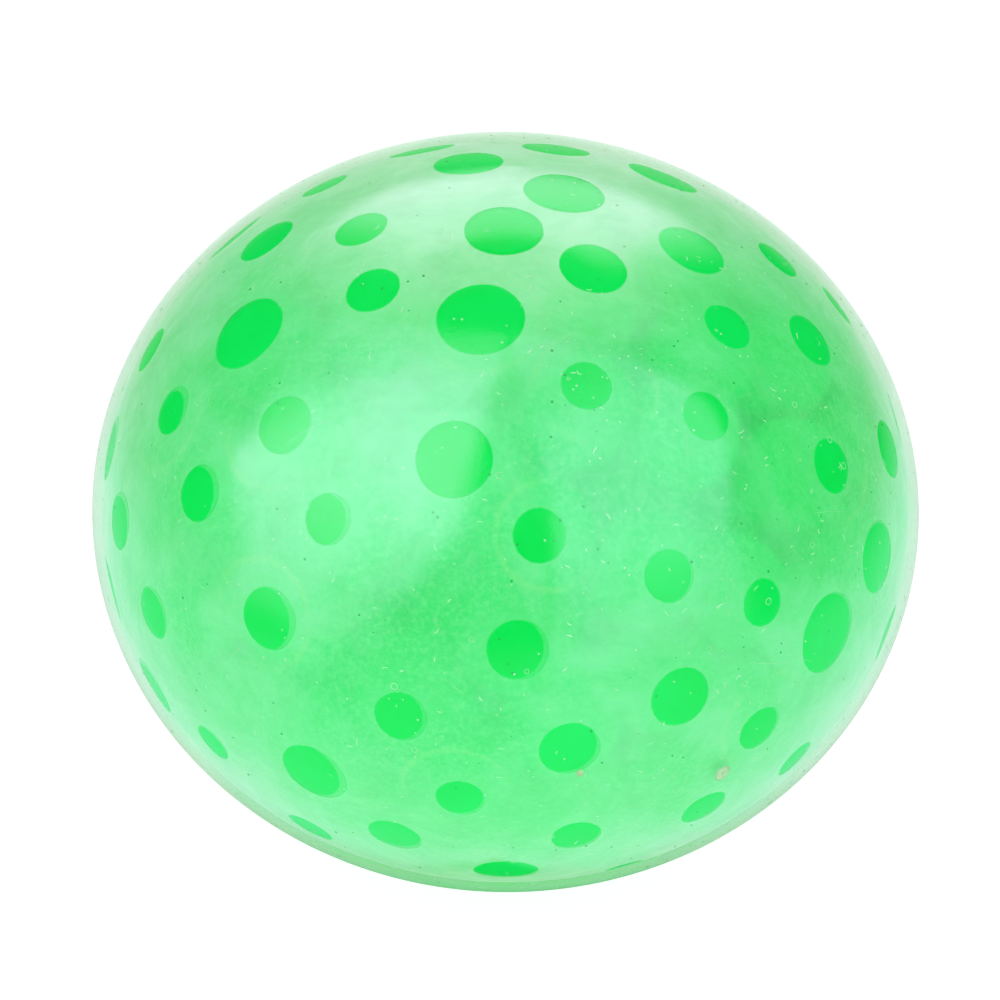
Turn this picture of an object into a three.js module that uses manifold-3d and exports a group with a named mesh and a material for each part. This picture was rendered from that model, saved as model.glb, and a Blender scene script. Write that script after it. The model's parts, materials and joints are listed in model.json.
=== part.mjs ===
// Bead-filled squeeze ball: a clear rubber skin packed with soft gel beads.
// Millimetres, +Z up. The origin is the middle of the flat patch that the ball rests on,
// the front faces -Y and +X is to the right.
import * as THREE from 'three';
import { mergeVertices } from 'three/addons/utils/BufferGeometryUtils.js';
import Module from 'manifold-3d';

const wasm = await Module();
wasm.setup();

// Driving dimensions.
const HALF_WIDTH = 35;
const HALF_HEIGHT = 31.2; // the ball sags a little under its own weight
const REST_RADIUS = 13; // of the flat patch underneath
const WALL = 0.8;
const GAP = 0.3; // kept between pieces that touch on the real ball

// The ball's middle, from where the flat patch cuts it.
const MIDDLE = HALF_HEIGHT * Math.sqrt(1 - (REST_RADIUS / HALF_WIDTH) ** 2);
const CAVITY_HALF_WIDTH = HALF_WIDTH - WALL;
const CAVITY_HALF_HEIGHT = HALF_HEIGHT - WALL;

// Filling hole and its plug, under the ball.
const HOLE_RADIUS = 4;
const PLUG_RECESS = 0.5;
const GLUE_THICKNESS = 0.4;
const FLANGE_RADIUS = 6;
const FLANGE_THICKNESS = 0.9;

// Gel beads. A bead of this radius is pressed flat where it meets the skin.
const BEAD_RADIUS = 4.6;
// Heights of the layers that the beads move in when the ball is squeezed.
const LAYER_HEIGHTS = [7, 18, 29, 40, 51];
const LAYER_PITCH = LAYER_HEIGHTS[1] - LAYER_HEIGHTS[0];

// Beads that lie against the front of the skin. They start on a spiral round the way that the
// front faces, each nudged off it, and those that come too close are then pushed apart.
const FRONT_COUNT = 52;
const FRONT_LEAN = THREE.MathUtils.degToRad(30); // of the way that the front faces, up from level
const FRONT_REACH = THREE.MathUtils.degToRad(77); // from that way out to the last beads
const GOLDEN_ANGLE = Math.PI * (3 - Math.sqrt(5));
const NUDGE = 5.5; // from one side of the chance range to the other
const CLOSEST = 8.8; // between two flats, from middle to middle
const PUSH_ROUNDS = 40;
const SMALLEST_FLAT = 3.5;
const LARGEST_FLAT = 6.4;

// The beads behind and inside the front ones are one plain solid for each layer.
const CORE_INSET = 8.4; // from the wall, clear of the front beads
const BEHIND_OFFSET = -1; // of the plane that the back ones lie behind, from the ball's middle
const BED_BOTTOM = 3.4; // clear of the plug's flange

const GEL_GREEN = 0x19d863;
const skinMaterial = new THREE.MeshStandardMaterial({
  color: 0xb9fbcf, roughness: 0.2, metalness: 0, transparent: true, opacity: 0.35,
});
const plugMaterial = new THREE.MeshStandardMaterial({ color: 0xd6f5de, roughness: 0.45, metalness: 0 });
const glueMaterial = new THREE.MeshStandardMaterial({ color: 0xe9efdf, roughness: 0.3, metalness: 0 });

const ball = new THREE.Group();

function add(name, geometry, material) {
  const mesh = new THREE.Mesh(geometry, material);
  mesh.name = name;
  ball.add(mesh);
  return mesh;
}

// Turns a profile of [radius, height] points round the vertical axis.
function turned(points, sides) {
  const profile = points.map(([radius, height]) => new THREE.Vector2(radius, height));
  const geometry = new THREE.LatheGeometry(profile, sides);
  geometry.rotateX(Math.PI / 2);
  return geometry;
}

// Points of an upright ellipse about the ball's middle, from the angle `from` to the angle `to`,
// both in radians above the horizontal.
function arc(halfWidth, halfHeight, from, to, steps) {
  const points = [];
  for (let step = 0; step <= steps; step += 1) {
    const angle = from + ((to - from) * step) / steps;
    points.push([halfWidth * Math.cos(angle), MIDDLE + halfHeight * Math.sin(angle)]);
  }
  return points;
}

// Shell: one moulded skin with a flat resting patch and the hole it is filled through.
function shellGeometry() {
  const steps = 14;
  const top = Math.PI / 2;
  const outerEdge = -Math.acos(REST_RADIUS / HALF_WIDTH);
  const innerEdge = -Math.asin((MIDDLE - WALL) / CAVITY_HALF_HEIGHT);
  const inner = arc(CAVITY_HALF_WIDTH, CAVITY_HALF_HEIGHT, top, innerEdge, steps);
  const outer = arc(HALF_WIDTH, HALF_HEIGHT, outerEdge, top, steps);
  inner[0][0] = 0;
  outer[steps][0] = 0;
  return turned([...inner, [HOLE_RADIUS, WALL], [HOLE_RADIUS, 0], ...outer], 56);
}

// Plug: a stem in the filling hole, with a flange inside the skin.
function plugGeometry() {
  const stem = HOLE_RADIUS - GAP;
  const flangeBottom = WALL + GAP + GLUE_THICKNESS + GAP;
  const flangeTop = flangeBottom + FLANGE_THICKNESS;
  return turned([
    [0, PLUG_RECESS],
    [stem, PLUG_RECESS],
    [stem, flangeBottom],
    [FLANGE_RADIUS, flangeBottom],
    [FLANGE_RADIUS, flangeTop],
    [0, flangeTop],
  ], 24);
}

// Glue: a cured ring between the skin and the plug's flange.
function glueGeometry() {
  const bottom = WALL + GAP;
  const top = bottom + GLUE_THICKNESS;
  return turned([
    [HOLE_RADIUS, bottom],
    [FLANGE_RADIUS, bottom],
    [FLANGE_RADIUS, top],
    [HOLE_RADIUS, top],
    [HOLE_RADIUS, bottom],
  ], 24);
}

// How far a point lies from the inner wall, measured along the wall's slope there.
function depthUnderWall(point) {
  const x = point.x / CAVITY_HALF_WIDTH;
  const y = point.y / CAVITY_HALF_WIDTH;
  const z = (point.z - MIDDLE) / CAVITY_HALF_HEIGHT;
  const level = Math.hypot(x, y, z);
  const slope = Math.hypot(x / CAVITY_HALF_WIDTH, y / CAVITY_HALF_WIDTH, z / CAVITY_HALF_HEIGHT);
  return (level * (1 - level)) / slope;
}

// A number from 0 to 1 that is the same on every run. Each kind gives another series.
function chance(index, kind) {
  const value = Math.sin(index * 12.9898 + kind * 78.233) * 43758.5453;
  return value - Math.floor(value);
}

// Where a front bead starts: a direction from the ball's middle.
function startDirection(index) {
  const share = (index + 0.5) / FRONT_COUNT;
  const away = Math.acos(1 - share * (1 - Math.cos(FRONT_REACH)));
  const turn = index * GOLDEN_ANGLE;
  const nudge = new THREE.Vector3(chance(index, 1), chance(index, 2), chance(index, 3))
    .subScalar(0.5)
    .multiplyScalar(NUDGE / HALF_WIDTH);
  return new THREE.Vector3(Math.sin(away) * Math.cos(turn), -Math.cos(away), Math.sin(away) * Math.sin(turn))
    .applyAxisAngle(new THREE.Vector3(1, 0, 0), -FRONT_LEAN)
    .add(nudge)
    .normalize();
}

function pushApart(directions) {
  const closest = CLOSEST / HALF_WIDTH;
  directions.forEach((direction) => {
    directions.filter((other) => other !== direction).forEach((other) => {
      const apart = direction.clone().sub(other);
      const shortfall = Math.max(closest - apart.length(), 0);
      direction.addScaledVector(apart.normalize(), 0.3 * shortfall).normalize();
    });
  });
}

function frontDirections() {
  const directions = Array.from({ length: FRONT_COUNT }, (_, index) => startDirection(index));
  for (let round = 0; round < PUSH_ROUNDS; round += 1) {
    pushApart(directions);
  }
  return directions;
}

// Most flats are small and a few are wide.
function flatWidth(index) {
  return SMALLEST_FLAT + (LARGEST_FLAT - SMALLEST_FLAT) * chance(index, 4) ** 2;
}

// A front bead's middle: in from its flat on the wall, along the wall's normal.
function beadCentre(direction, index) {
  const wallSquares = new THREE.Vector3(
    CAVITY_HALF_WIDTH ** 2,
    CAVITY_HALF_WIDTH ** 2,
    CAVITY_HALF_HEIGHT ** 2,
  );
  const normal = direction.clone().divide(wallSquares);
  const reach = 1 / Math.sqrt(direction.dot(normal));
  const depth = Math.sqrt(BEAD_RADIUS ** 2 - (flatWidth(index) / 2) ** 2);
  return direction.clone().multiplyScalar(reach)
    .addScaledVector(normal.normalize(), -depth)
    .add(new THREE.Vector3(0, 0, MIDDLE));
}

// A bead as drawn here is a round ball that just clears the wall and its neighbours.
function clearRadius(centre, centres) {
  const others = centres.filter((other) => other !== centre);
  const nearest = Math.min(...others.map((other) => other.distanceTo(centre)));
  return Math.min(depthUnderWall(centre) - GAP, (nearest - GAP) / 2);
}

// A closed geometry as a manifold-3d solid, for cutting and joining.
function solid(geometry) {
  const bare = geometry.clone();
  bare.deleteAttribute('normal');
  bare.deleteAttribute('uv');
  const merged = mergeVertices(bare, 1e-4);
  return new wasm.Manifold(new wasm.Mesh({
    numProp: 3,
    vertProperties: new Float32Array(merged.attributes.position.array),
    triVerts: new Uint32Array(merged.index.array),
  }));
}

function geometryOf(manifold) {
  const mesh = manifold.getMesh();
  const geometry = new THREE.BufferGeometry();
  geometry.setAttribute('position', new THREE.BufferAttribute(mesh.vertProperties, 3));
  geometry.setIndex(new THREE.BufferAttribute(mesh.triVerts, 1));
  geometry.computeVertexNormals();
  return geometry;
}

// An ellipsoid that follows the inner wall at a distance.
function insetEllipsoid(inset) {
  const geometry = new THREE.SphereGeometry(1, 20, 14);
  geometry.rotateX(Math.PI / 2);
  geometry.scale(CAVITY_HALF_WIDTH - inset, CAVITY_HALF_WIDTH - inset, CAVITY_HALF_HEIGHT - inset);
  geometry.translate(0, 0, MIDDLE);
  return solid(geometry);
}

function block(width, depth, height, x, y, z) {
  return solid(new THREE.BoxGeometry(width, depth, height).translate(x, y, z));
}

// Bead beds: the beads behind and inside the front ones, as one plain solid for each layer.
function allBeds() {
  // A sloping block, behind a plane through the ball that leans back like the front beads do.
  const behind = new THREE.BoxGeometry(4 * HALF_WIDTH, 2 * HALF_WIDTH, 4 * HALF_WIDTH);
  behind.translate(0, HALF_WIDTH + BEHIND_OFFSET, 0);
  behind.rotateX(-FRONT_LEAN);
  behind.translate(0, 0, MIDDLE);
  const back = insetEllipsoid(GAP).intersect(solid(behind));
  return insetEllipsoid(CORE_INSET).add(back);
}

function bedGeometry(beds, bottom, top) {
  const height = top - bottom;
  const slab = block(2 * HALF_WIDTH, 2 * HALF_WIDTH, height, 0, 0, bottom + height / 2);
  return geometryOf(beds.intersect(slab));
}

add('shell', shellGeometry(), skinMaterial);
add('fill_plug', plugGeometry(), plugMaterial);
add('glue_ring', glueGeometry(), glueMaterial);

const centres = frontDirections().map(beadCentre);
centres.forEach((centre, index) => {
  const number = String(index + 1).padStart(2, '0');
  const geometry = new THREE.IcosahedronGeometry(clearRadius(centre, centres), 2);
  // Each bead has swollen with a little more or less dye.
  const color = new THREE.Color(GEL_GREEN).offsetHSL(0, 0, 0.02 * Math.sin(index));
  const material = new THREE.MeshStandardMaterial({ color, roughness: 0.15, metalness: 0 });
  add(`gel_bead_${number}`, geometry, material).position.copy(centre);
});

const beds = allBeds();
const bedMaterial = new THREE.MeshStandardMaterial({ color: 0x3ddc7d, roughness: 0.2, metalness: 0 });
LAYER_HEIGHTS.forEach((height, index) => {
  const bottom = index === 0 ? BED_BOTTOM : height - LAYER_PITCH / 2 + GAP / 2;
  const top = index === LAYER_HEIGHTS.length - 1 ? MIDDLE + HALF_HEIGHT : height + LAYER_PITCH / 2 - GAP / 2;
  add(`bead_bed_${index + 1}`, bedGeometry(beds, bottom, top), bedMaterial);
});

export default ball;
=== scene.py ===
import json
import math

import bmesh
import bpy
import numpy as np
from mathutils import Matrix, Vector


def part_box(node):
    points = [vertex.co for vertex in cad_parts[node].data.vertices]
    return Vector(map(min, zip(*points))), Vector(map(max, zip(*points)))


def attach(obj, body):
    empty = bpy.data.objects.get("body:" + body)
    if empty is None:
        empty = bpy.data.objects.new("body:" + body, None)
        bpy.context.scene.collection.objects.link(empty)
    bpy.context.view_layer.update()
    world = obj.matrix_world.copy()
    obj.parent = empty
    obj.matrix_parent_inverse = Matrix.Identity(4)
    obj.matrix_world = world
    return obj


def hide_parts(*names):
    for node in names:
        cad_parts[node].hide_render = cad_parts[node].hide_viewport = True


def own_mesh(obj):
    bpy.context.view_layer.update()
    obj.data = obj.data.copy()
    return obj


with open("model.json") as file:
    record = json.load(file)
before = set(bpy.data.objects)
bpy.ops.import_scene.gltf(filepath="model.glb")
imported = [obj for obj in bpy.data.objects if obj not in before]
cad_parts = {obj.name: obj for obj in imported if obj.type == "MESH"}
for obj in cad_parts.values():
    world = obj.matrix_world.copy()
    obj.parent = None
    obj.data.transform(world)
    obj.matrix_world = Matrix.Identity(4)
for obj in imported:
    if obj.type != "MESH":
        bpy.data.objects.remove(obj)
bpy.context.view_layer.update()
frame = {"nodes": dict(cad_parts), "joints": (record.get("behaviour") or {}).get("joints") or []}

# A bead-filled squeeze ball. Lengths are in metres, in the CAD model's frame:
# +Z up, the ball resting on z = 0, its front facing -Y.
MM = 0.001

# ---------------------------------------------------------------- shape, from the frame

shell_low, shell_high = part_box("shell")
HALF_WIDTH = (shell_high.x - shell_low.x) / 2
HEIGHT = shell_high.z - shell_low.z
REST_RADIUS = 13 * MM
WALL = 0.8 * MM
HOLE_RADIUS = 4 * MM
BEAD_RADIUS = 4.6 * MM

cut_share = math.sqrt(1 - (REST_RADIUS / HALF_WIDTH) ** 2)
HALF_HEIGHT = HEIGHT / (1 + cut_share)
MIDDLE = HALF_HEIGHT * cut_share

CENTRE = np.array([0, 0, MIDDLE])
CAVITY = np.array([HALF_WIDTH - WALL, HALF_WIDTH - WALL, HALF_HEIGHT - WALL])

plug_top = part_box("fill_plug")[1].z
plug_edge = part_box("fill_plug")[1].x

# How the ball flattens: every height keeps the same share at the squeeze joint's limit.
layers = {}
for joint in frame["joints"]:
    for node in joint["deforming_nodes"]:
        if node["node"] != "shell":
            layers[joint["child"]] = node["fixed_end_z_m"]


def flattens(piece, body):
    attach(piece, body)
    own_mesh(piece)


def nearest_layer(height):
    return min(layers, key=lambda body: abs(layers[body] - height))


# ---------------------------------------------------------------- camera

CAMERA_ELEVATION = math.radians(30)
CAMERA_DISTANCE = 0.2027
CAMERA_ROLL = math.radians(1.45)
CAMERA_SHIFT = (-0.0057, 0.0049)


def make_camera():
    data = bpy.data.cameras.new("camera")
    data.lens = 85
    data.sensor_width = 36
    data.clip_start = 0.01
    data.clip_end = 20
    camera = bpy.data.objects.new("camera", data)
    bpy.context.scene.collection.objects.link(camera)
    back = Vector((0, -math.cos(CAMERA_ELEVATION), math.sin(CAMERA_ELEVATION)))
    camera.location = Vector((0, 0, MIDDLE)) + back * CAMERA_DISTANCE
    turn = back.to_track_quat("Z", "Y")
    camera.rotation_euler = turn.to_euler()
    camera.rotation_euler.rotate_axis("Z", CAMERA_ROLL)
    data.shift_x, data.shift_y = CAMERA_SHIFT
    bpy.context.scene.camera = camera


# ---------------------------------------------------------------- small helpers


def new_object(name, vertices, faces, smooth=True):
    mesh = bpy.data.meshes.new(name)
    mesh.from_pydata([tuple(v) for v in vertices], [], faces)
    mesh.update()
    if smooth:
        mesh.polygons.foreach_set("use_smooth", [True] * len(mesh.polygons))
    piece = bpy.data.objects.new(name, mesh)
    bpy.context.scene.collection.objects.link(piece)
    return piece


def write_values(piece, name, values):
    attribute = piece.data.attributes.new(name, "FLOAT", "POINT")
    attribute.data.foreach_set("value", np.asarray(values, np.float32))


class Nodes:
    """A material's node tree, with short ways to add to it."""

    def __init__(self, name):
        self.material = bpy.data.materials.new(name)
        self.material.use_nodes = True
        self.tree = self.material.node_tree
        self.shader = self.tree.nodes["Principled BSDF"]

    def add(self, kind, **settings):
        node = self.tree.nodes.new(kind)
        for key, value in settings.items():
            setattr(node, key, value)
        return node

    def link(self, source, target):
        self.tree.links.new(source, target)

    def plain(self, **values):
        for key, value in values.items():
            self.shader.inputs[key.replace("_", " ")].default_value = value

    def attribute(self, name):
        return self.add("ShaderNodeAttribute", attribute_name=name).outputs["Fac"]

    def position(self):
        return self.add("ShaderNodeTexCoord").outputs["Object"]

    def noise(self, scale, detail=2.0, roughness=0.5, distortion=0.0):
        node = self.add("ShaderNodeTexNoise")
        self.link(self.position(), node.inputs["Vector"])
        node.inputs["Scale"].default_value = scale
        node.inputs["Detail"].default_value = detail
        node.inputs["Roughness"].default_value = roughness
        node.inputs["Distortion"].default_value = distortion
        return node.outputs["Fac"]

    def height(self):
        node = self.add("ShaderNodeSeparateXYZ")
        self.link(self.position(), node.inputs[0])
        return node.outputs["Z"]

    def distance_to(self, point):
        node = self.add("ShaderNodeVectorMath", operation="DISTANCE")
        self.link(self.position(), node.inputs[0])
        node.inputs[1].default_value = tuple(point)
        return node.outputs["Value"]

    def math(self, operation, first, second=0.0, third=0.0):
        node = self.add("ShaderNodeMath", operation=operation)
        for socket, value in zip(node.inputs, (first, second, third)):
            if isinstance(value, (int, float)):
                socket.default_value = value
            else:
                self.link(value, socket)
        return node.outputs[0]

    def ramp(self, value, low, high, to_low=0.0, to_high=1.0, kind="SMOOTHSTEP"):
        node = self.add("ShaderNodeMapRange", interpolation_type=kind)
        self.link(value, node.inputs["Value"])
        node.inputs["From Min"].default_value = low
        node.inputs["From Max"].default_value = high
        node.inputs["To Min"].default_value = to_low
        node.inputs["To Max"].default_value = to_high
        return node.outputs["Result"]

    def mix(self, factor, first, second):
        node = self.add("ShaderNodeMix", data_type="RGBA")
        for socket, value in ((node.inputs[0], factor), (node.inputs[6], first), (node.inputs[7], second)):
            if isinstance(value, (int, float)):
                socket.default_value = value
            elif isinstance(value, tuple):
                socket.default_value = (*value, 1)
            else:
                self.link(value, socket)
        return node.outputs[2]

    def bump(self, height, distance):
        node = self.add("ShaderNodeBump")
        self.link(height, node.inputs["Height"])
        node.inputs["Distance"].default_value = distance
        node.inputs["Strength"].default_value = 1.0
        return node.outputs["Normal"]


# ---------------------------------------------------------------- where the beads lie

GOLDEN = (math.sqrt(5) - 1) / 2
OUTER_INSET = 4.0 * MM


def wall_distance(points):
    """How far each point lies inside the skin's inner wall."""
    scaled = (points - CENTRE) / CAVITY
    level = np.linalg.norm(scaled, axis=-1)
    slope = np.linalg.norm(scaled / CAVITY, axis=-1)
    curved = level * (1 - level) / np.maximum(slope, 1e-9)
    return np.minimum(curved, points[..., 2] - WALL)


def onto_shell(points, inset):
    """Moves points to the ellipsoid `inset` inside the inner wall, and off the flat and the plug."""
    axes = CAVITY - inset
    scaled = (points - CENTRE) / axes
    placed = CENTRE + scaled / np.linalg.norm(scaled, axis=1, keepdims=True) * axes
    over_plug = np.hypot(placed[:, 0], placed[:, 1]) < plug_edge + 1 * MM
    lowest = np.where(over_plug, plug_top, WALL) + inset
    placed[:, 2] = np.maximum(placed[:, 2], lowest)
    return placed


def wall_point(latitude, longitude):
    """The point on the inner wall in a direction given in degrees; longitude 0 is the front."""
    up = math.radians(latitude)
    round_by = math.radians(longitude)
    way = np.array([math.cos(up) * math.sin(round_by), -math.cos(up) * math.cos(round_by), math.sin(up)])
    return CENTRE + way / np.linalg.norm(way / CAVITY)


def golden_directions(count):
    index = np.arange(count) + 0.5
    height = 1 - 2 * index / count
    turn = index * math.pi * (1 + math.sqrt(5))
    ring = np.sqrt(1 - height**2)
    return np.stack([ring * np.cos(turn), ring * np.sin(turn), height], axis=1)


def spread(count, inset):
    """Places all over the ellipsoid `inset` inside the wall."""
    return onto_shell(CENTRE + golden_directions(count) * (CAVITY - inset), inset)


def places_with_room(count, inset, gap, fixed):
    """Tries `count` places in a chance order, and keeps each that has room among those kept before it."""
    kept = list(fixed)
    for place in np.random.default_rng(5).permutation(spread(count, inset)):
        if np.linalg.norm(np.array(kept) - place, axis=1).min() > gap:
            kept.append(place)
    return np.array(kept[len(fixed):])


def settle(free, inset, pitch, fixed):
    """Pushes the free beads away from each other and from the fixed ones, all at `inset` from the wall."""
    for _ in range(120):
        everything = np.concatenate([free, fixed]) if len(fixed) else free
        apart = free[:, None] - everything[None]
        distance = np.linalg.norm(apart, axis=2)
        distance[distance < 1e-9] = 1
        push = np.clip(pitch - distance, 0, pitch) * (distance < pitch)
        free = free + 0.25 * (apart / distance[..., None] * push[..., None]).sum(axis=1)
        free = onto_shell(free, inset)
    return free


def press_unevenly(centres):
    """Moves beads a little in or out, so that some lie flatter on the wall than others."""
    outward = (centres - CENTRE) / CAVITY**2
    outward = outward / np.linalg.norm(outward, axis=1, keepdims=True)
    shares = np.arange(len(centres)) * GOLDEN % 1
    on_curve = centres[:, 2] > WALL + OUTER_INSET + 2 * MM
    moves = np.where(on_curve, -0.35 + 0.9 * shares**1.5, 0) * MM
    return centres + outward * moves[:, None]


def cad_bead_centres():
    names = sorted(name for name in frame["nodes"] if name.startswith("gel_bead_"))
    corners = [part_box(name) for name in names]
    return names, np.array([(low + high) / 2 for low, high in corners])


front_names, front_centres = cad_bead_centres()
OUTER_PITCH = 8.3 * MM
LAYER_STEP = 7.2 * MM
LEAST_ROOM = 6.9 * MM
NO_BEADS = np.zeros((0, 3))
# The rest of the beads on the wall are mostly at the back, and a few fill gaps between the front ones.
back_places = places_with_room(900, OUTER_INSET, LEAST_ROOM, front_centres)
back_centres = press_unevenly(settle(back_places, OUTER_INSET, OUTER_PITCH, front_centres))


def inner_centres(count, inset):
    return settle(spread(count, inset), inset, OUTER_PITCH, NO_BEADS)


second_centres = inner_centres(66, OUTER_INSET + LAYER_STEP)
third_centres = inner_centres(24, OUTER_INSET + 2 * LAYER_STEP)
core_centres = inner_centres(4, OUTER_INSET + 3 * LAYER_STEP)
outer_centres = np.concatenate([front_centres, back_centres])
all_centres = np.concatenate([outer_centres, second_centres, third_centres, core_centres])

# ---------------------------------------------------------------- skin

LIFTED_SHARE = 0.55
# The haze is thinnest round one spot on the front, high on the right: its latitude and longitude in degrees.
THIN_SPOT = (37, 50)
THIN_REACH = 22 * MM
SKIN_SIDES = 288
OUTER_RINGS = 150
INNER_RINGS = 140


def smooth_max(value, floor, softness):
    return 0.5 * (value + floor + np.sqrt((value - floor) ** 2 + softness**2))


def wall_profile(half_width, half_height, floor, rings):
    """Radius and height of one wall's rings, from the filling hole's edge up to just under the top."""
    start = -math.acos(HOLE_RADIUS / half_width)
    angles = np.linspace(start, math.pi / 2, rings + 1)[:-1]
    radius = half_width * np.cos(angles)
    height = smooth_max(MIDDLE + half_height * np.sin(angles), floor, 0.7 * MM)
    return radius, height - height.min() + floor


def skin_mesh():
    turns = np.linspace(0, 2 * math.pi, SKIN_SIDES, endpoint=False)

    def ring_points(radius, height):
        grid = np.zeros((len(radius), SKIN_SIDES, 3))
        grid[..., 0] = radius[:, None] * np.cos(turns)
        grid[..., 1] = radius[:, None] * np.sin(turns)
        grid[..., 2] = height[:, None]
        return grid.reshape(-1, 3)

    outer = ring_points(*wall_profile(HALF_WIDTH, HALF_HEIGHT, 0, OUTER_RINGS))
    inner = ring_points(*wall_profile(CAVITY[0], CAVITY[2], WALL, INNER_RINGS))
    tops = np.array([[0, 0, MIDDLE + HALF_HEIGHT], [0, 0, MIDDLE + CAVITY[2]]])
    vertices = np.concatenate([outer, inner, tops])
    faces = []
    materials = []

    def ring_faces(start, rings, outward, top, material):
        for ring in range(rings - 1):
            for side in range(SKIN_SIDES):
                after = (side + 1) % SKIN_SIDES
                a = start + ring * SKIN_SIDES + side
                b = start + ring * SKIN_SIDES + after
                quad = (a, b, b + SKIN_SIDES, a + SKIN_SIDES)
                faces.append(quad if outward else quad[::-1])
                materials.append(material)
        last = start + (rings - 1) * SKIN_SIDES
        for side in range(SKIN_SIDES):
            cap = (last + side, last + (side + 1) % SKIN_SIDES, top)
            faces.append(cap if outward else cap[::-1])
            materials.append(material)

    ring_faces(0, OUTER_RINGS, True, len(outer) + len(inner), 0)
    ring_faces(len(outer), INNER_RINGS, False, len(outer) + len(inner) + 1, 1)
    for side in range(SKIN_SIDES):
        after = (side + 1) % SKIN_SIDES
        faces.append((side, len(outer) + side, len(outer) + after, after))
        materials.append(0)
    return vertices, faces, materials, len(outer), len(inner)


def flat_marks(points):
    """For each point on the inner wall, how far it lies outside the nearest bead's flat, and how far outside
    the part of that flat that is fully wet, which on some beads is off to one side."""
    apart = np.linalg.norm(points[:, None] - outer_centres[None], axis=2)
    depth = wall_distance(outer_centres)
    flat_radius = np.sqrt(np.maximum(BEAD_RADIUS**2 - depth**2, 0))
    outside = np.sqrt(np.maximum(apart**2 - depth**2, 0)) - flat_radius
    nearest = outside.argmin(axis=1)
    rows = np.arange(len(points))
    chance = (np.arange(len(outer_centres)) * GOLDEN) % 1
    shift = np.where(chance < LIFTED_SHARE, 0.10 + 0.35 * chance, 0.0)[:, None] * flat_radius[:, None]
    outward = (outer_centres - CENTRE) / CAVITY**2
    outward = outward / np.linalg.norm(outward, axis=1, keepdims=True)
    sideways = np.cross(outward, golden_directions(len(outer_centres)))
    sideways = sideways / np.linalg.norm(sideways, axis=1, keepdims=True)
    wet_centres = outer_centres + shift * sideways
    wet_apart = np.linalg.norm(points - wet_centres[nearest], axis=1)
    wet_along = np.sqrt(np.maximum(wet_apart**2 - depth[nearest] ** 2, 0))
    all_wet = np.where(chance[nearest] < LIFTED_SHARE, 0, 9 * MM)
    lifted = wet_along - flat_radius[nearest] - all_wet
    return outside[rows, nearest], lifted


def ring_spots():
    """The beads whose outline shows as a pale ring in the haze: the spot over each, and the radius."""
    spots = []
    for index, centre in enumerate(outer_centres):
        every = 3 if index < len(front_centres) else 10
        if index % every == 0:
            way = (centre - CENTRE) / CAVITY**2
            over = centre + way / np.linalg.norm(way) * wall_distance(centre)
            chance = index * GOLDEN % 1
            aside = np.array([math.cos(7 * chance), 0.3, math.sin(7 * chance)]) * 0.8 * MM
            spots.append((over + aside, (4.0 + 0.7 * chance) * MM))
    return spots


def make_skin():
    vertices, faces, materials, outer_count, inner_count = skin_mesh()
    piece = new_object("skin", vertices, faces)
    piece.data.polygons.foreach_set("material_index", materials)
    inner = slice(outer_count, outer_count + inner_count)
    outside, lifted = flat_marks(vertices[inner])
    written = (("flat_distance", outside / MM, 5.0), ("lifted_distance", lifted / MM, 5.0))
    for name, values, elsewhere in written:
        full = np.full(len(vertices), elsewhere)
        full[inner] = values
        write_values(piece, name, full)
    piece.data.materials.append(gloss_material())
    piece.data.materials.append(haze_material())
    # The beads are lit as if the thin skin weren't there.
    piece.visible_shadow = False
    piece.visible_diffuse = False
    piece.visible_glossy = False
    return piece


def gloss_material():
    nodes = Nodes("skin_outside")
    nodes.plain(Roughness=0.12, Coat_Weight=1.0, Coat_Roughness=0.05, Coat_IOR=1.5)
    tint = nodes.ramp(nodes.noise(90, 3), 0.35, 0.7)
    nodes.link(nodes.mix(tint, (0.001, 0.76, 0.08), (0.004, 0.82, 0.11)), nodes.shader.inputs["Base Color"])
    # The skin is less clear towards the bottom, the end that was closed with the plug, so the bottom edge
    # shows deeper green.
    clarity = nodes.ramp(nodes.noise(160, 4), 0.3, 0.75, 0.40, 0.48)
    less_clear_low = nodes.ramp(nodes.height(), 13 * MM, 2 * MM, 0.0, 0.42)
    nodes.link(nodes.math("ADD", clarity, less_clear_low), nodes.shader.inputs["Alpha"])
    waves = nodes.noise(110, 2)
    grain = nodes.math("MULTIPLY", nodes.noise(3000, 2), 0.035)
    nodes.link(nodes.bump(nodes.math("ADD", waves, grain), 0.00022), nodes.shader.inputs["Normal"])
    return nodes.material


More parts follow.
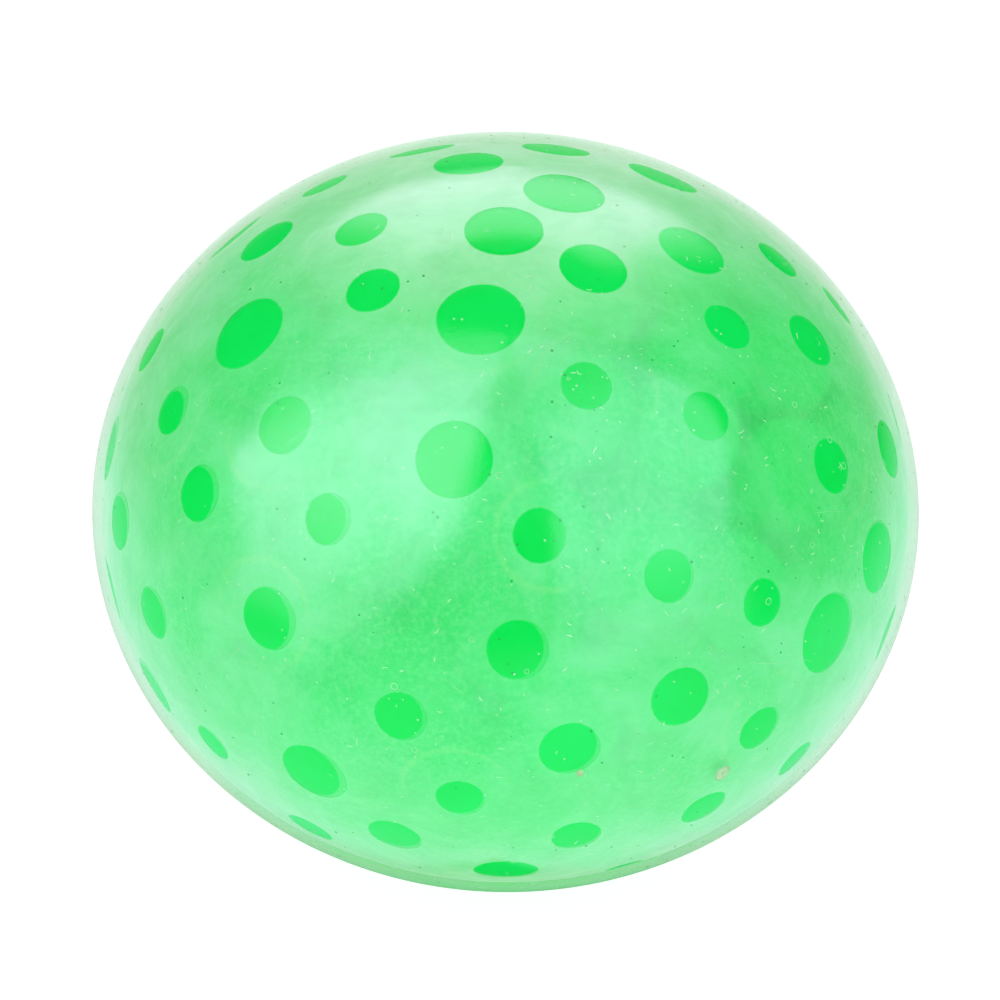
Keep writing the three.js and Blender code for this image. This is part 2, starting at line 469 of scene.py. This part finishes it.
def haze_material():
    """The film of liquid and fine air under the skin: milky, but cleared away where a bead presses flat."""
    nodes = Nodes("skin_inside")
    nodes.plain(Roughness=0.38, Specular_IOR_Level=0.5, Sheen_Weight=1.0, Sheen_Roughness=0.45)
    wobble = nodes.ramp(nodes.noise(200, 2), 0.3, 0.7, 0.0, 0.16, "LINEAR")
    distance = nodes.math("ADD", nodes.attribute("flat_distance"), wobble)
    wet = nodes.ramp(distance, -0.05, 0.05, 1.0, 0.0)
    lifted = nodes.ramp(nodes.attribute("lifted_distance"), -0.06, 0.06, 0.0, 0.5)

    cloud = nodes.ramp(nodes.noise(70, 6, 0.62, 0.7), 0.35, 0.65)
    haze = nodes.mix(cloud, (0.050, 0.80, 0.20), (0.260, 0.88, 0.45))
    grain = nodes.ramp(nodes.noise(2200, 4, 0.75), 0.40, 0.68, 0.0, 0.6)
    haze = nodes.mix(grain, haze, (0.24, 0.93, 0.38))
    halo = nodes.ramp(distance, 0.0, 1.5, 0.35, 0.0)
    haze = nodes.mix(halo, haze, (0.16, 0.90, 0.32))
    rings = 0.0
    for spot, radius in ring_spots():
        off = nodes.math("ABSOLUTE", nodes.math("SUBTRACT", nodes.distance_to(spot), radius))
        rings = nodes.math("MAXIMUM", rings, nodes.ramp(off, 0.05 * MM, 0.4 * MM, 1.0, 0.0))
    broken = nodes.ramp(nodes.noise(130, 2), 0.42, 0.60, 0.0, 0.28)
    haze = nodes.mix(nodes.math("MULTIPLY", rings, broken), haze, (0.42, 0.92, 0.36))
    # Painted sheen: the haze is mixed whiter towards the bottom and towards the top, standing in for the
    # paler look of the haze where the wall turns away at grazing angles.
    low = nodes.ramp(nodes.height(), MIDDLE + 4 * MM, 4 * MM, 0.0, 0.85)
    haze = nodes.mix(low, haze, (0.28, 0.91, 0.42))
    high = nodes.ramp(nodes.height(), MIDDLE + 23 * MM, MIDDLE + 30 * MM, 0.0, 0.85)
    haze = nodes.mix(high, haze, (0.66, 0.97, 0.74))
    nodes.link(haze, nodes.shader.inputs["Base Color"])

    thickness = nodes.ramp(nodes.noise(130, 6, 0.68, 0.4), 0.32, 0.68, 0.72, 0.97)
    thin = nodes.ramp(nodes.distance_to(wall_point(*THIN_SPOT)), 0.0, THIN_REACH, 0.28, 0.0)
    thickness = nodes.math("SUBTRACT", thickness, thin)
    dry = nodes.math("MAXIMUM", nodes.math("SUBTRACT", 1.0, wet), lifted)
    nodes.link(nodes.math("MULTIPLY", thickness, dry), nodes.shader.inputs["Alpha"])
    nodes.link(nodes.bump(nodes.noise(2200, 4), 0.00006), nodes.shader.inputs["Normal"])
    return nodes.material


# ---------------------------------------------------------------- marks inside the skin


def wall_frame(direction, inset):
    """The point `inset` inside the outer wall in a direction from the middle, and two ways along the wall."""
    axes = CAVITY + WALL - inset
    point = direction / np.linalg.norm(direction / axes)
    normal = point / axes**2
    normal = normal / np.linalg.norm(normal)
    across = np.cross(normal, [0.3, 0.2, 1.0])
    across = across / np.linalg.norm(across)
    return CENTRE + point, normal, across, np.cross(normal, across)


def lie_on_wall(points, inset):
    axes = CAVITY + WALL - inset
    scaled = (points - CENTRE) / axes
    placed = CENTRE + scaled / np.linalg.norm(scaled, axis=1, keepdims=True) * axes
    placed[:, 2] = np.maximum(placed[:, 2], inset)
    return placed


def strand(points, widths, normal, closed):
    """A thin flat strand along points, diamond in section: its vertices and faces."""
    count = len(points)
    ahead = np.roll(points, -1, axis=0)
    behind = np.roll(points, 1, axis=0)
    if not closed:
        ahead[-1] = points[-1]
        behind[0] = points[0]
    along = ahead - behind
    side = np.cross(along, normal)
    side = side / np.maximum(np.linalg.norm(side, axis=1, keepdims=True), 1e-12)
    half = (widths / 2)[:, None]
    corners = np.stack([points + side * half, points + normal * half / 2,
                        points - side * half, points - normal * half / 2], axis=1)
    faces = []
    for step in range(count if closed else count - 1):
        after = (step + 1) % count
        for corner in range(4):
            beside = (corner + 1) % 4
            faces.append((4 * step + corner, 4 * after + corner, 4 * after + beside, 4 * step + beside))
    if not closed:
        faces.append((0, 1, 2, 3))
        faces.append((4 * count - 1, 4 * count - 2, 4 * count - 3, 4 * count - 4))
    return corners.reshape(-1, 3), faces


def arc_strand(direction, radius, start, sweep, width, inset, steps):
    """A strand along part of a circle that lies on the wall."""
    point, normal, across, up = wall_frame(direction, inset)
    closed = sweep >= 2 * math.pi
    turns = start + sweep * np.linspace(0, 1, steps, endpoint=not closed)
    ring = point + radius * (np.cos(turns)[:, None] * across + np.sin(turns)[:, None] * up)
    tapered = 0.15 + 0.85 * np.sin(np.linspace(0, math.pi, steps))
    widths = np.full(steps, width) if closed else width * tapered
    return strand(lie_on_wall(ring, inset), widths, normal, closed)


def joined(name, parts, material):
    vertices = []
    faces = []
    for points, part_faces in parts:
        start = sum(len(group) for group in vertices)
        vertices.append(points)
        faces.extend(tuple(start + index for index in face) for face in part_faces)
    piece = new_object(name, np.concatenate(vertices), faces)
    piece.data.materials.append(material)
    piece.visible_shadow = False
    flattens(piece, "skin")


def mark_material(name, low, high, alpha, roughness):
    nodes = Nodes(name)
    nodes.plain(Roughness=roughness, Alpha=alpha)
    mottling = nodes.ramp(nodes.noise(900, 2), 0.3, 0.7)
    nodes.link(nodes.mix(mottling, low, high), nodes.shader.inputs["Base Color"])
    return nodes.material


# Two pale pinkish spots low on the front: latitude, longitude and radius.
BLEMISHES = (
    (-10, 30, 0.7 * MM),
    (-5, 10, 0.3 * MM),
)


def make_marks():
    chance = np.random.default_rng(11)

    def direction():
        """Anywhere above the resting patch, and more often low on the right-hand side of the front."""
        while True:
            way = chance.normal(size=3)
            way = way / np.linalg.norm(way)
            favour = way @ np.array([0.62, -0.74, 0.25])
            if way[2] > -0.8 and chance.random() < 0.35 + 0.65 * max(favour, 0) ** 2:
                return way

    # Tiny curved air flecks in the skin. They are coloured near white, a painted glint on each.
    fleck_glints = []
    for _ in range(620):
        radius = chance.uniform(0.15, 0.7) * MM
        sweep = chance.uniform(0.4, 1.5) * (0.5 * MM / radius) ** 0.5
        width = chance.uniform(0.03, 0.10) * MM
        start = chance.uniform(0, 2 * math.pi)
        fleck_glints.append(arc_strand(direction(), radius, start, sweep, width, 0.25 * MM, 8))
    joined("skin_flecks", fleck_glints, mark_material("air_fleck_glint", (0.75, 0.95, 0.80), (1, 1, 1), 0.9, 0.3))

    # Small air bubbles in the skin, drawn as pale rings: a painted glint round each.
    bubble_glints = []
    for _ in range(90):
        radius = chance.uniform(0.08, 0.26) * MM
        bubble_glints.append(arc_strand(direction(), radius, 0, 2 * math.pi, 0.07 * MM, 0.3 * MM, 14))
    joined("skin_bubbles", bubble_glints, mark_material("air_bubble_glint", (0.45, 0.93, 0.55), (0.75, 1, 0.8), 0.6, 0.3))

    specks = []
    for _ in range(420):
        radius = chance.uniform(0.02, 0.06) * MM
        specks.append(arc_strand(direction(), radius, 0, 2 * math.pi, 2 * radius, 0.15 * MM, 6))
    joined("skin_specks", specks, mark_material("dust", (0.0, 0.18, 0.03), (0.01, 0.30, 0.06), 0.85, 0.6))

    dust = []
    for _ in range(900):
        radius = chance.uniform(0.02, 0.05) * MM
        dust.append(arc_strand(direction(), radius, 0, 2 * math.pi, 2 * radius, 0.2 * MM, 6))
    joined("skin_dust", dust, mark_material("pale_dust", (0.55, 0.95, 0.62), (0.9, 1, 0.92), 0.7, 0.4))

    blemishes = []
    for latitude, longitude, radius in BLEMISHES:
        way = wall_point(latitude, longitude) - CENTRE
        blemishes.append(arc_strand(way, 0.5 * radius, 0, 2 * math.pi, radius, 0.2 * MM, 12))
        blemishes.append(arc_strand(way, 0.8 * radius, 0.6, 2.4, 0.9 * radius, 0.2 * MM, 9))
    rubber_fleck = mark_material("rubber_fleck", (0.75, 0.55, 0.42), (0.9, 0.8, 0.7), 0.6, 0.5)
    joined("skin_blemishes", blemishes, rubber_fleck)

    scratches = []
    for _ in range(36):
        radius = chance.uniform(14, 24) * MM
        sweep = chance.uniform(2, 6) * MM / radius
        start = chance.uniform(0, 2 * math.pi)
        scratches.append(arc_strand(direction(), radius, start, sweep, 0.045 * MM, 0.1 * MM, 16))
    joined("skin_scratches", scratches, mark_material("scratch", (0.5, 0.95, 0.6), (0.8, 1, 0.85), 0.4, 0.3))


# ---------------------------------------------------------------- beads


def sphere_directions(detail):
    ball = bmesh.new()
    bmesh.ops.create_icosphere(ball, subdivisions=detail, radius=1)
    ball.verts.ensure_lookup_table()
    directions = np.array([v.co.normalized() for v in ball.verts])
    faces = [[v.index for v in face.verts] for face in ball.faces]
    ball.free()
    return directions, faces


SPHERES = {detail: sphere_directions(detail) for detail in (3, 4)}
PRESS_SOFTNESS = 0.1 * MM
CLEARANCE = 0.03 * MM


def reach_to_wall(centre, directions):
    """Distance from a bead's middle to the inner wall along each direction."""
    axes = CAVITY - CLEARANCE
    start = (centre - CENTRE) / axes
    step = directions / axes
    a = (step**2).sum(axis=1)
    b = step @ start
    c = start @ start - 1
    curved = (-b + np.sqrt(b * b - a * c)) / a
    falling = np.maximum(-directions[:, 2], 1e-4)
    return np.minimum(curved, (centre[2] - WALL - CLEARANCE) / falling)


def bead_piece(name, centre, detail):
    """A gel bead, swollen until the wall and its neighbours stop it."""
    directions, faces = SPHERES[detail]
    offsets = all_centres - centre
    spans = np.linalg.norm(offsets, axis=1)
    close = (spans > 1e-6) & (spans < 2 * BEAD_RADIUS)
    limits = [np.full(len(directions), BEAD_RADIUS), reach_to_wall(centre, directions)]
    for offset, span in zip(offsets[close], spans[close]):
        toward = directions @ (offset / span)
        limits.append((span / 2 - CLEARANCE) / np.maximum(toward, 1e-3))
    shortest = np.min(limits, axis=0)
    softened = sum(np.exp(-(limit - shortest) / PRESS_SOFTNESS) for limit in limits)
    reach = shortest - PRESS_SOFTNESS * np.log(softened)
    return new_object(name, centre + directions * reach[:, None], faces)


def gel_material():
    nodes = Nodes("gel")
    nodes.plain(Roughness=0.3, Specular_IOR_Level=0.04, Emission_Strength=0.06)
    info = nodes.add("ShaderNodeObjectInfo")
    cloud = nodes.ramp(nodes.noise(220, 4), 0.3, 0.7)
    tone = nodes.math("MULTIPLY_ADD", cloud, 0.5, nodes.math("MULTIPLY", info.outputs["Random"], 0.5))
    green = nodes.mix(tone, (0.0008, 0.72, 0.070), (0.002, 0.80, 0.11))
    nodes.link(green, nodes.shader.inputs["Base Color"])
    # The beads glow faintly in their own green: a painted glow that stands in for light that has come through
    # the beads and fills the gaps between them.
    nodes.link(green, nodes.shader.inputs["Emission Color"])
    nodes.link(nodes.bump(nodes.noise(700, 3), 0.00003), nodes.shader.inputs["Normal"])
    return nodes.material


def make_beads():
    material = gel_material()
    groups = (
        ("bead_front", front_centres, 4),
        ("bead_back", back_centres, 4),
        ("bead_second", second_centres, 3),
        ("bead_third", third_centres, 3),
        ("bead_core", core_centres, 3),
    )
    stand_in = {}
    for group, centres, detail in groups:
        for index, centre in enumerate(centres):
            piece = bead_piece(f"{group}_{index + 1:02d}", centre, detail)
            piece.data.materials.append(material)
            body = nearest_layer(centre[2])
            flattens(piece, body)
            if group == "bead_front":
                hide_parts(front_names[index])
            else:
                stand_in[body] = piece
    for body, piece in stand_in.items():
        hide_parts("bead_bed_" + body.rsplit("_", 1)[1])


# ---------------------------------------------------------------- plug and glue


def rubber_material(name, low, high, roughness):
    nodes = Nodes(name)
    nodes.plain(Roughness=roughness)
    mottling = nodes.ramp(nodes.noise(400, 4), 0.3, 0.7)
    nodes.link(nodes.mix(mottling, low, high), nodes.shader.inputs["Base Color"])
    nodes.link(nodes.bump(nodes.noise(1500, 4), 0.00005), nodes.shader.inputs["Normal"])
    return nodes.material


def dress_plug():
    finishes = {
        "fill_plug": rubber_material("plug_rubber", (0.45, 0.80, 0.55), (0.60, 0.90, 0.68), 0.45),
        "glue_ring": rubber_material("cured_glue", (0.70, 0.78, 0.62), (0.80, 0.86, 0.72), 0.3),
    }
    for name, material in finishes.items():
        node = frame["nodes"][name]
        node.data.materials.clear()
        node.data.materials.append(material)


# ---------------------------------------------------------------- floor, world and lights


def make_floor():
    size = 6
    corners = [(-size, -size, 0), (size, -size, 0), (size, size, 0), (-size, size, 0)]
    floor = new_object("floor", corners, [(0, 1, 2, 3)], False)
    nodes = Nodes("floor_paper")
    nodes.plain(Roughness=0.9, Specular_IOR_Level=0.0, Emission_Strength=0.92)
    nodes.shader.inputs["Emission Color"].default_value = (1, 1, 1, 1)
    paper = nodes.mix(nodes.noise(30, 2), (0.24, 0.24, 0.24), (0.26, 0.26, 0.26))
    nodes.link(paper, nodes.shader.inputs["Base Color"])
    floor.data.materials.append(nodes.material)
    floor.visible_glossy = False


def make_world():
    world = bpy.data.worlds.new("studio")
    bpy.context.scene.world = world
    world.use_nodes = True
    tree = world.node_tree
    background = tree.nodes["Background"]
    rays = tree.nodes.new("ShaderNodeLightPath")
    seen = tree.nodes.new("ShaderNodeMix")
    seen.data_type = "FLOAT"
    seen.inputs[2].default_value = 0.84
    seen.inputs[3].default_value = 0.0
    tree.links.new(rays.outputs["Is Glossy Ray"], seen.inputs[0])
    straight = tree.nodes.new("ShaderNodeMath")
    straight.operation = "MAXIMUM"
    tree.links.new(seen.outputs[0], straight.inputs[0])
    tree.links.new(rays.outputs["Is Camera Ray"], straight.inputs[1])
    tree.links.new(straight.outputs[0], background.inputs["Strength"])
    background.inputs["Color"].default_value = (1, 1, 1, 1)


def area_light(name, azimuth, elevation, distance, size, power, glossy):
    data = bpy.data.lights.new(name, "AREA")
    data.shape = "RECTANGLE"
    data.size, data.size_y = size
    data.energy = power
    light = bpy.data.objects.new(name, data)
    bpy.context.scene.collection.objects.link(light)
    a = math.radians(azimuth)
    e = math.radians(elevation)
    away = Vector((math.sin(a) * math.cos(e), -math.cos(a) * math.cos(e), math.sin(e)))
    light.location = Vector((0, 0, MIDDLE)) + away * distance
    light.rotation_euler = away.to_track_quat("Z", "Y").to_euler()
    light.visible_glossy = glossy
    light.visible_camera = False


def reflected_panel(name, azimuths, elevations, glow, tint=(1, 1, 1)):
    """A softbox that only shows as a reflection: a patch of a big sphere round the ball, given in degrees.
    glow gives its strength for each azimuth and elevation."""
    columns, rows = 72, 48
    radius = 0.6
    vertices = []
    strengths = []
    for row in range(rows + 1):
        elevation = elevations[0] + (elevations[1] - elevations[0]) * row / rows
        for column in range(columns + 1):
            azimuth = azimuths[0] + (azimuths[1] - azimuths[0]) * column / columns
            a = math.radians(azimuth)
            e = math.radians(elevation)
            vertices.append((
                radius * math.sin(a) * math.cos(e),
                -radius * math.cos(a) * math.cos(e),
                MIDDLE + radius * math.sin(e),
            ))
            strengths.append(glow(azimuth, elevation))
    faces = []
    for row in range(rows):
        for column in range(columns):
            corner = row * (columns + 1) + column
            faces.append((corner, corner + 1, corner + columns + 2, corner + columns + 1))
    panel = new_object(name, vertices, faces)
    write_values(panel, "glow", strengths)
    nodes = Nodes(name)
    light = nodes.add("ShaderNodeEmission")
    light.inputs["Color"].default_value = (*tint, 1)
    nodes.link(nodes.attribute("glow"), light.inputs["Strength"])
    # Where the glow is nothing the panel is clear, so panels can overlap.
    clear = nodes.add("ShaderNodeBsdfTransparent")
    both = nodes.add("ShaderNodeAddShader")
    nodes.link(light.outputs[0], both.inputs[0])
    nodes.link(clear.outputs[0], both.inputs[1])
    output = nodes.tree.nodes["Material Output"]
    nodes.link(both.outputs[0], output.inputs["Surface"])
    panel.data.materials.append(nodes.material)
    panel.visible_camera = False
    panel.visible_diffuse = False
    panel.visible_shadow = False
    panel.visible_transmission = False


def step(value, start, end):
    """0 before start, 1 after end, smooth between; start may be above end."""
    share = min(1.0, max(0.0, (value - start) / (end - start)))
    return share * share * (3 - 2 * share)


def table_glow(azimuth, elevation):
    """The white table in front of the ball and beside it, which goes dim behind."""
    edge = -12 + 9 * step(abs(azimuth), 60, 20)
    return 1.1 * step(elevation, edge + 8, edge - 8) * step(abs(azimuth), 165, 120)


def under_edge(azimuth, elevation):
    """1 towards the strip of table close under the ball's near edge, falling to 0 round it."""
    return math.exp(-((azimuth - 180) / 30) ** 2 - ((elevation + 56) / 20) ** 2)


def sweep_glow(azimuth, elevation):
    """The sweep that rises behind the table, brightest straight behind the ball."""
    behind = max(0.0, -math.cos(math.radians(azimuth)))
    edge = -14 + 37 * behind**3
    soft = 3 + 8 * (1 - behind)
    sides = step(abs(azimuth - 180), 80, 30)
    heights = step(elevation, edge + soft, edge - soft) * step(elevation, -62, -30)
    straight = math.exp(-((azimuth - 180) / 25) ** 2 - ((elevation + 18) / 24) ** 2)
    return (0.4 + 0.5 * straight) * sides * heights * (1 - 0.97 * under_edge(azimuth, elevation))


def green_glow(azimuth, elevation):
    """The table under the ball's near edge, in the green light that comes through it."""
    return 0.6 * under_edge(azimuth, elevation)


def back_glow(azimuth, elevation):
    sides = step(azimuth, 138, 156) * step(azimuth, 222, 200)
    return 3.1 * sides * step(elevation, 24, 34) * step(elevation, 62, 54)


def left_glow(azimuth, elevation):
    right_edge = -31 + 18 * step(elevation, -4, 40)
    spread = 3 + 22 * step(elevation, 22, 50)
    left_edge = -87 + 15 * step(elevation, 25, 5)
    sides = step(azimuth, left_edge - spread, left_edge + spread)
    sides *= step(azimuth, right_edge + 6, right_edge - 6)
    heights = (0.3 + 0.7 * step(elevation, -4, 44)) * step(elevation, -12, 0)
    return 6.9 * sides * heights * (0.35 + 0.65 * step(elevation, 88, 55))


def right_glow(azimuth, elevation):
    right_edge = 64 + 22 * step(elevation, 18, 48)
    sides = step(azimuth, 11, 17) * step(azimuth, right_edge + 4, right_edge - 4)
    heights = (0.3 + 0.7 * step(elevation, -6, 34)) * step(elevation, -12, 0)
    return 4.5 * sides * heights * (0.35 + 0.65 * step(elevation, 76, 52))


def make_lights():
    area_light("overhead", 180, 75, 0.8, (0.9, 0.9), 1.0, False)
    area_light("front_fill", -10, 28, 0.8, (0.7, 0.7), 0.95, False)
    reflected_panel("table", (-180, 180), (-89, 20), table_glow, (0.50, 0.75, 0.90))
    reflected_panel("sweep", (90, 270), (-89, 40), sweep_glow, (0.70, 1.0, 0.77))
    reflected_panel("green_table", (90, 270), (-89, 0), green_glow, (0.08, 0.88, 0.22))
    reflected_panel("back_box", (130, 226), (18, 68), back_glow, (0.80, 0.60, 0.96))
    reflected_panel("left_box", (-120, -4), (-14, 89), left_glow, (0.66, 0.44, 0.88))
    reflected_panel("right_box", (8, 96), (-14, 89), right_glow, (0.55, 0.44, 0.88))


# ---------------------------------------------------------------- build it all

bpy.context.scene.view_settings.view_transform = "Standard"
make_camera()
make_floor()
make_world()
make_lights()

skin = make_skin()
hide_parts("shell")
flattens(skin, "skin")
make_marks()
make_beads()
dress_plug()
